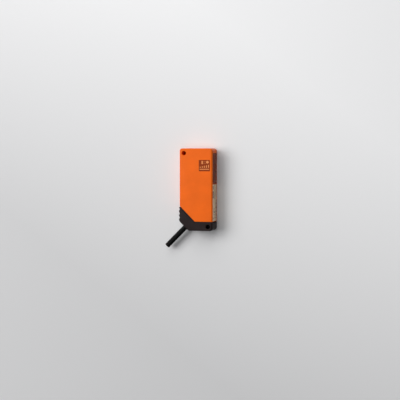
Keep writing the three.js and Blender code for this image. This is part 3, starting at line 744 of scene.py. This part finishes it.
def make_shell():
    shell = raised("housing", body_layers(shell_outline, DEPTH - PRINT, SHELL_FILLET))
    wells = [on_end_face(adjuster_middle), on_end_face(selector_middle)]
    room = prism("room", rounded([
        (REAR + REAR_WALL, -FAR, 0),
        (OPTICAL - OPTICAL_WALL, -FAR, 0),
        (OPTICAL - OPTICAL_WALL, TOP - TOP_WALL, 1 * MM),
        (REAR + BOSS_REACH, TOP - TOP_WALL, 0.6 * MM),
        (REAR + BOSS_REACH, TOP - BOSS_REACH, 2 * MM),
        (REAR + REAR_WALL, TOP - BOSS_REACH, 0.6 * MM),
    ]), REAR_WALL, DEPTH - REAR_WALL)
    room = combined(room, [
        prism("collar", circle(COLLAR_RADIUS, well), COLLAR_LOW, TOP, END_FACE) for well in wells
    ])
    cutters = [room]
    hole = circle(MOUNT_HOLE_RADIUS, TOP_HOLE)
    cutters.append(raised("hole", through(hole, 0, DEPTH - PRINT, HOLE_FLARE)))
    window = side_rectangle(window_low, window_high, SEAT_GAP, 0.6 * MM)
    cutters.append(raised(
        "window_seat", flared(window, OPTICAL - WINDOW_SEAT, OPTICAL, 0.15 * MM), OPTICAL_SIDE
    ))
    opening = side_rectangle(window_low, window_high, SEAT_GAP - WINDOW_LEDGE, 0.5 * MM)
    cutters.append(prism("window_opening", opening, 0, OPTICAL, OPTICAL_SIDE))
    label = side_rectangle(label_low, label_high, SEAT_GAP, 0.6 * MM)
    cutters.append(raised(
        "label_seat", flared(label, OPTICAL - LABEL_SEAT, OPTICAL, 0.12 * MM), OPTICAL_SIDE
    ))
    for well in wells:
        mouth = flared(circle(WELL_RADIUS, well), TOP - WELL_DEPTH, TOP - PRINT, 0.2 * MM)
        cutters.append(raised("well", mouth, END_FACE))
        cutters.append(prism("bore", circle(SPINDLE_BORE, well), COLLAR_LOW - BEYOND, TOP, END_FACE))
    pipe = circle(PIPE_BORE, on_end_face(light_middle))
    cutters.append(raised(
        "pipe_hole", flared(pipe, TOP - TOP_WALL - BEYOND, TOP - PRINT, 0.2 * MM), END_FACE
    ))
    for x, y in ((-12, -8), (12, -8), (-4, 30), (12, 30)):
        mark = circle(EJECTOR_RADIUS, (x * MM, y * MM))
        cutters.append(prism("ejector_mark", mark, -BEYOND, EJECTOR_DEPTH))
    return finish_piece(combined(shell, cutters), "housing_orange", stands_for=["housing_shell"])


make_shell()

# ---- end cap ---------------------------------------------------------------------------------

CAP_FILLET = 0.6 * MM
MOUTH_RADIUS = 2.85 * MM
SEAT_DEPTH = 4.75 * MM
SCREW_HEAD_BORE = 2.6 * MM
SCREW_HEAD_DEPTH = 2.4 * MM
RIB_SWING = 0.375 * MM  # half of the way in from a rib's peak to the valley beside it
RIB_STEPS = 48


def cap_outline(inset, optical_inset):
    """Anticlockwise from the tip at the rear: down the ribs, round the base and up the joint."""
    level = JOINT_Y - CAP_GAP - inset
    bend_x = JOINT_BEND_X - CAP_GAP * (math.sqrt(2) - 1)
    joint_slope = bend_x + JOINT_Y - CAP_GAP - inset * math.sqrt(2)
    chamfer_slope = REAR + BOTTOM + CHAMFER + inset * math.sqrt(2)
    bottom, optical = BOTTOM + inset, OPTICAL - optical_inset
    tip = RIB_PEAK_X + inset
    ribs = []
    high, low = FIRST_RIB_Y - 0.9 * MM, FIRST_RIB_Y - 3.5 * RIB_PITCH
    for k in range(RIB_STEPS + 1):
        y = high + (low - high) * k / RIB_STEPS
        wave = math.cos(2 * math.pi * (y - FIRST_RIB_Y) / RIB_PITCH)
        ribs.append((RIB_PEAK_X + RIB_SWING * (1 - wave) + inset, y, 0))
    rear = REAR + inset
    return rounded([
        (tip, joint_slope - tip, 0.35 * MM),
        *ribs,
        (rear, chamfer_slope - rear, 0),
        (chamfer_slope - bottom, bottom, 1.2 * MM - inset),
        (optical, bottom, BASE_CORNER - (inset + optical_inset) / 2),
        (optical, level, 0.6 * MM),
        (joint_slope - level, level, 0.5 * MM),
    ])


def make_cap():
    cap = raised("cap", body_layers(cap_outline, CAP_DEPTH, CAP_FILLET))
    hole = through(circle(MOUNT_HOLE_RADIUS, CAP_HOLE), 0, CAP_DEPTH, HOLE_FLARE)
    mouth = flared(circle(MOUTH_RADIUS), -SEAT_DEPTH, 0, 0.3 * MM)
    cutters = [raised("hole", hole), raised("mouth", mouth, facing(outward, (0, 0, 1), outlet))]
    for node in ("cap_screw_back", "cap_screw_front"):
        middle = middle_of(node)
        bore = circle(SCREW_HEAD_BORE, (middle.x, middle.z))
        bore = flared(bore, -BOTTOM - SCREW_HEAD_DEPTH, -BOTTOM, 0.2 * MM)
        cutters.append(raised("screw_bore", bore, UNDERSIDE))
    return finish_piece(combined(cap, cutters), "cap_black", stands_for=["end_cap"])


make_cap()

# ---- window and label ------------------------------------------------------------------------


GROOVE_DROP = 2.3 * MM  # of the moulded line, from the window's upper end
GROOVE_WIDTH, GROOVE_DEPTH = 0.4 * MM, 0.25 * MM


def make_window():
    """The tinted window, with the moulded line that sets off its upper strip."""
    outline = side_rectangle(window_low, window_high, 0, 0.45 * MM)
    layers = filleted(outline, window_low.x, window_high.x, 0.15 * MM, 4, low_fillet=0)
    window = raised("window", layers, OPTICAL_SIDE)
    line = rectangle(GROOVE_WIDTH / 2, FAR, middle=(window_high.y - GROOVE_DROP, 0))
    groove = prism("groove", line, window_high.x - GROOVE_DEPTH, window_high.x + BEYOND, OPTICAL_SIDE)
    return finish_piece(combined(window, [groove]), "window_tinted", stands_for=["front_window"])


def make_label():
    outline = side_rectangle(label_low, label_high, 0, 0.5 * MM)
    layers = filleted(outline, label_low.x, label_high.x - PRINT, 0.03 * MM, 3)
    film = raised("label_film", layers, OPTICAL_SIDE)
    return finish_piece(film, "label_foil", stands_for=["type_label"])


make_window()
make_label()

# ---- screws, spindles and light pipe ---------------------------------------------------------


def make_screw(node):
    """A screw with a domed head and a tapered cross slot."""
    low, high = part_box(node)
    middle = (low + high) / 2
    place = facing((0, -1, 0), (0, 0, 1), (middle.x, low.y, middle.z))
    radius, dome, head = (high.x - low.x) / 2, 0.6 * MM, 1.5 * MM
    shaft, tip = 1.25 * MM, low.y - high.y
    profile = [(0, 0)]
    for angle in quarter_turn(6):
        profile.append((radius * (0.55 + 0.45 * math.sin(angle)), -dome * (1 - math.cos(angle))))
    profile += [(radius, -head), (shaft, -head), (shaft, tip + shaft), (0, tip)]
    screw = turned(node.replace("cap_", ""), profile, 48, place)
    half_width, reach, depth, taper = 0.3 * MM, 1.35 * MM, 0.85 * MM, 0.12 * MM
    cross = []
    for slot in (rectangle(reach, half_width), rectangle(half_width, reach)):
        cross.append(raised("slot", [(drawn_in(slot, taper), -depth), (slot, BEYOND)], place))
    return finish_piece(combined(screw, cross), "screw_steel", stands_for=[node])


HEAD_HEIGHT = 0.75 * MM
HEAD_EDGE = 0.25 * MM
SHAFT_RADIUS, SHAFT_LOW = 2 * MM, 36.9 * MM
SEAL_GROOVE_RADIUS, SEAL_GROOVE_LOW, SEAL_GROOVE_HIGH = 1.15 * MM, 38.1 * MM, 39.5 * MM
SLOT_REACH = 5 * MM  # half of the slot cutter's length, past the head
SLOT_DEPTH = 0.5 * MM
POINTER_DEPTH = 0.3 * MM
TONGUE_TOP = 37.2 * MM


def make_spindle(node, name, body, slot_width):
    """A slotted round head over a grooved shaft, with a pointer notch at one end of its slot."""
    low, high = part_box(node)
    middle = (low + high) / 2
    radius = (high.x - low.x) / 2
    place = facing((0, 1, 0), (0, 0, 1), (middle.x, 0, middle.z))
    profile = [
        (0, SHAFT_LOW), (SHAFT_RADIUS, SHAFT_LOW), (SHAFT_RADIUS, SEAL_GROOVE_LOW),
        (SEAL_GROOVE_RADIUS, SEAL_GROOVE_LOW), (SEAL_GROOVE_RADIUS, SEAL_GROOVE_HIGH),
        (SHAFT_RADIUS, SEAL_GROOVE_HIGH), (SHAFT_RADIUS, high.y - HEAD_HEIGHT),
        (radius, high.y - HEAD_HEIGHT),
    ]
    for angle in quarter_turn(5):
        inset, drop = HEAD_EDGE * (1 - math.cos(angle)), HEAD_EDGE * (1 - math.sin(angle))
        profile.append((radius - inset, high.y - drop))
    profile.append((0, high.y))
    slot = flared(rectangle(SLOT_REACH, slot_width / 2), high.y - SLOT_DEPTH, high.y, 0.08 * MM, 3)
    tip = radius * 0.9
    pointer = rounded([(-tip, 0, 0), (-tip * 0.5, -tip * 0.42, 0), (-tip * 0.5, tip * 0.42, 0)])
    spindle = combined(turned(name, profile, 64, place), [
        raised("slot", slot, place),
        prism("pointer", pointer, high.y - POINTER_DEPTH, high.y + BEYOND, place),
    ])
    tongue = rectangle(1.2 * MM, 0.45 * MM, 0.1 * MM, steps=3)
    spindle = combined(spindle, [prism("tongue", tongue, low.y, TONGUE_TOP, place)], "UNION")
    return finish_piece(spindle, "control_white", body, [node])


def make_light_pipe():
    """A domed round stem over a flange, with a square leg down to the status light."""
    low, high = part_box("light_pipe")
    place = facing((0, 1, 0), (0, 0, 1), (light_middle.x, 0, light_middle.z))
    flange, flange_low, flange_high = 2.7 * MM, 37.4 * MM, 38.6 * MM
    stem, dome_low = 1.95 * MM, 40.3 * MM
    profile = [(0, flange_low), (flange, flange_low), (flange, flange_high), (stem, flange_high)]
    for angle in quarter_turn(8)[:-1]:
        profile.append((stem * math.cos(angle), dome_low + (high.y - dome_low) * math.sin(angle)))
    profile.append((0, high.y))
    pipe = turned("light_guide", profile, 48, place)
    leg = rectangle(1.4 * MM, 1.4 * MM, 0.3 * MM, steps=4)
    pipe = combined(pipe, [prism("leg", leg, low.y, 37.8 * MM, place)], "UNION")
    return finish_piece(pipe, "clear_plastic", stands_for=["light_pipe"])


make_screw("cap_screw_back")
make_screw("cap_screw_front")
make_spindle("sensitivity_adjuster", "adjuster_spindle", "adjuster", 0.8 * MM)
make_spindle("mode_selector", "selector_spindle", "selector", 1 * MM)
make_light_pipe()

# ---- prints ----------------------------------------------------------------------------------


INK_ROOT = 0.02 * MM  # how far ink reaches down into the surface under it


def stripe(x, y, width, height):
    """A rectangle round that middle."""
    corners = ((-1, -1), (1, -1), (1, 1), (-1, 1))
    return [Vector((x + a * width / 2, y + b * height / 2)) for a, b in corners]


def sector(centre, inner, outer, start, end, steps=2):
    """A stretch of a ring between two angles in degrees."""
    angles = [math.radians(start + (end - start) * k / steps) for k in range(steps + 1)]
    arms = [Vector((math.cos(angle), math.sin(angle))) for angle in angles]
    centre = Vector(centre)
    return [centre + arm * outer for arm in arms] + [centre + arm * inner for arm in reversed(arms)]


def inked(name, shapes, surface, place, slot, look, thickness=0.02 * MM):
    """Flat shapes, each a list of points, as a thin layer of ink on a surface."""
    bm = bmesh.new()
    for points in shapes:
        add_pile(bm, [(points, surface - INK_ROOT), (points, surface + thickness)], place)
    bmesh.ops.recalc_face_normals(bm, faces=bm.faces)
    return finish_piece(made(name, bm), slot, look=look)


BADGE_MIDDLE = Vector((8.66, 23.9, 0)) * MM
BADGE_WIDTH, BADGE_HEIGHT = 11.5 * MM, 11.2 * MM


def make_badge():
    """A square with a beam between emitter and target, over bars of rising signal strength."""
    place = Matrix.Translation(BADGE_MIDDLE)
    surface = DEPTH - PRINT
    plate = rectangle(BADGE_WIDTH / 2, BADGE_HEIGHT / 2, 0.6 * MM)
    inked("badge_plate", [plate], surface, place, "housing_orange", BADGE_INK, 0.01 * MM)
    emitter = rectangle(0.675 * MM, 1.65 * MM, 0.6 * MM, (-2.275 * MM, 3.05 * MM))
    target = circle(1.35 * MM, (3.1 * MM, 3.4 * MM), 32)
    beam = [
        stripe(x * MM, y * MM, 0.7 * MM, 0.4 * MM) for y in (3.9, 2.2) for x in (-0.5, 0.7)
    ]
    bars = []
    for k in range(5):
        height = 1.0 + 0.45 * k
        bars.append(stripe((-4.2 + 2.1 * k) * MM, (-2.1 + height / 2) * MM, 0.95 * MM, height * MM))
    base = stripe(0, -3.6 * MM, 9.6 * MM, 0.75 * MM)
    marks = [emitter, *beam, target, *bars, base]
    inked("badge_marks", marks, surface, place, "housing_orange", BADGE_PALE, 0.025 * MM)


LABEL_LINE = 0.3 * MM
LABEL_ROW = 1.5 * MM


def make_label_print():
    """Generic marks on the label: a border line, a type block, a wiring diagram and data bars."""
    left, right = label_low.y, label_high.y
    low, high = label_low.z, label_high.z
    shapes = [stripe(left + 3.1 * MM, (low + high) / 2, 0.35 * MM, high - low - 1 * MM)]
    shapes.append(stripe(-5 * MM, high - 2.1 * MM, 7 * MM, 2.6 * MM))
    for row, length in enumerate((5 * MM, 3.6 * MM, 4.4 * MM)):
        x = right - 1.4 * MM - length / 2
        shapes.append(stripe(x, high - 1.6 * MM - LABEL_ROW * row, length, 0.5 * MM))
    for row, length in enumerate((12.5 * MM, 14 * MM, 9.6 * MM, 11.8 * MM)):
        x = -9.8 * MM + length / 2
        shapes.append(stripe(x, high - 5.4 * MM - LABEL_ROW * row, length, LABEL_LINE))
    box_x, box_y, box_size, box_line = -22 * MM, high - 6.2 * MM, 6 * MM, 0.2 * MM
    for side in (-1, 1):
        off = side * box_size / 2
        shapes.append(stripe(box_x, box_y + off, box_size + box_line, box_line))
        shapes.append(stripe(box_x + off, box_y, box_line, box_size - box_line))
    arrow = [(-1.2, -1), (1.2, 0), (-1.2, 1)]
    shapes.append([Vector((box_x + a * MM, box_y + b * MM)) for a, b in arrow])
    for lead in (-1.8, 0, 1.8):
        x = box_x - box_size / 2 - 1.35 * MM
        shapes.append(stripe(x, box_y + lead * MM, 2.3 * MM, 0.22 * MM))
    for k in range(14):
        width = LABEL_LINE * (1 + k * 5 % 3)
        shapes.append(stripe((-27 + 1.25 * k) * MM, low + 2.3 * MM, width, 2.6 * MM))
    surface = label_high.x - PRINT
    inked("label_print", shapes, surface, OPTICAL_SIDE, "label_foil", DARK_INK)


SCALE_MARKS = 11
SCALE_SWING = 135  # degrees that the sensitivity scale runs to each side of its middle
SCALE_INNER = 3.5 * MM


def make_top_print():
    """Scales beside the two controls and a lamp sign, on the end face."""
    shapes = []
    dial = on_end_face(adjuster_middle)
    for k in range(SCALE_MARKS):
        angle = 180 - SCALE_SWING + 2 * SCALE_SWING * k / (SCALE_MARKS - 1)
        outer = (4.05 if k % 5 == 0 else 3.85) * MM
        shapes.append(sector(dial, SCALE_INNER, outer, angle - 2.4, angle + 2.4))
    bar, line = 1.3 * MM, 0.32 * MM
    for side in (-1, 1):
        corner = math.radians(45 * side)
        sign = dial + Vector((math.cos(corner), math.sin(corner))) * 5 * MM
        shapes.append(stripe(sign.x, sign.y, bar, line))
    for half in (-1, 1):  # the last sign is the plus
        shapes.append(stripe(sign.x, sign.y + half * 0.42 * MM, line, 0.5 * MM))
    switch = on_end_face(selector_middle)
    light_on, dark_on = switch + Vector((-4.35 * MM, 0)), switch + Vector((0, -4.5 * MM))
    shapes.append(sector(light_on, 0.32 * MM, 0.58 * MM, 2, 358, 24))
    shapes.append(circle(0.58 * MM, dark_on, 24))
    shapes.append(sector(switch, SCALE_INNER, 3.75 * MM, 184, 266, 16))
    lamp = on_end_face(light_middle) + Vector((0, 4 * MM))
    shapes.append(circle(0.5 * MM, lamp, 24))
    for k in range(8):
        shapes.append(sector(lamp, 0.75 * MM, 1.15 * MM, 45 * k - 6, 45 * k + 6))
    inked("control_print", shapes, TOP - PRINT, END_FACE, "housing_orange", DARK_INK)


make_badge()
make_label_print()
make_top_print()

# ---- carried-over CAD nodes ------------------------------------------------------------------

ROUND_NODES = {
    "emitter_lens", "receiver_lens", "emitter_led", "buffer_capacitor",
    "adjuster_seal", "selector_seal", "wire_brown", "wire_blue", "wire_black",
    "cable_tail", "cable_bushing", "cable_crimp",
}
WELD_DISTANCE = 0.002 * MM
FLAT_ANGLE = math.radians(1)


def soften(thing, width):
    """Joins a CAD node's split edges, rounds its sharp ones and smooths the rest."""
    weld = thing.modifiers.new("weld", "WELD")
    weld.merge_threshold = WELD_DISTANCE
    flat = thing.modifiers.new("flat", "DECIMATE")
    flat.decimate_type = "DISSOLVE"
    flat.angle_limit = FLAT_ANGLE
    bevel = thing.modifiers.new("bevel", "BEVEL")
    bevel.width = width
    bevel.segments = 2
    bevel.limit_method = "ANGLE"
    bevel.angle_limit = SHARP_ANGLE
    even = thing.modifiers.new("even", "WEIGHTED_NORMAL")
    even.weight = 90
    for face in thing.data.polygons:
        face.use_smooth = True


record_slots = {part["node"]: part["material_slot"] for part in frame["record"]["subparts"]}
for node, thing in nodes.items():
    if node not in replaced:
        thing.data.materials.clear()
        thing.data.materials.append(LOOKS[record_slots[node]])
        soften(thing, 0.03 * MM if node in ROUND_NODES else 0.08 * MM)

# ---- light and floor -------------------------------------------------------------------------


FLOOR_HALF = 3
FLOOR_DROP = 0.05 * MM  # under the back face, which lies on it


def make_floor():
    """A pale surface with painted light: its colour grows brighter towards the upper right."""
    bm = bmesh.new()
    bmesh.ops.create_grid(bm, x_segments=8, y_segments=8, size=FLOOR_HALF)
    bmesh.ops.translate(bm, verts=bm.verts, vec=(0, 0, -FLOOR_DROP))
    floor = made("floor", bm)
    look = Look("floor", (0.74, 0.74, 0.75), 0.85)
    # painted light: a brightness gradient in the floor's colour, darker at the lower left and
    # brighter at the upper right
    drift = look.add("ShaderNodeVectorMath", {
        0: look.coordinates, 1: (0.8, 1.1, 0),
    }, operation="DOT_PRODUCT").outputs["Value"]
    tone = look.blended(
        look.between(drift, 0, 1, -0.2, 0.2), (0.6, 0.6, 0.605), (0.89, 0.89, 0.895)
    )
    clouds = look.between(look.noise(0.5, 2), 0, 0.2)
    look.set("Base Color", look.blended(clouds, tone, (0.72, 0.72, 0.73)))
    floor.data.materials.append(look.material)


def area_light(name, place, size, power):
    """A round light that faces the body; its size is in metres and its power in watts."""
    data = bpy.data.lights.new(name, "AREA")
    data.shape = "DISK"
    data.size = size
    data.energy = power
    light = bpy.data.objects.new(name, data)
    light.location = place
    light.rotation_mode = "QUATERNION"
    light.rotation_quaternion = (body_middle - Vector(place)).to_track_quat("-Z", "Y")
    bpy.context.scene.collection.objects.link(light)


def make_world(brightness):
    world = bpy.data.worlds.new("studio")
    world.use_nodes = True
    background = world.node_tree.nodes["Background"]
    background.inputs["Color"].default_value = (0.95, 0.97, 1, 1)
    background.inputs["Strength"].default_value = brightness
    bpy.context.scene.world = world


make_floor()
make_world(0.08)
area_light("key", (-1.3, 0.38, 1.5), 1.5, 30)
area_light("upper", (-0.25, 1.25, 1.4), 1.8, 17.5)
area_light("fill", (0.3, -0.2, 1.6), 0.6, 2.4)
bpy.context.scene.view_settings.view_transform = "Standard"
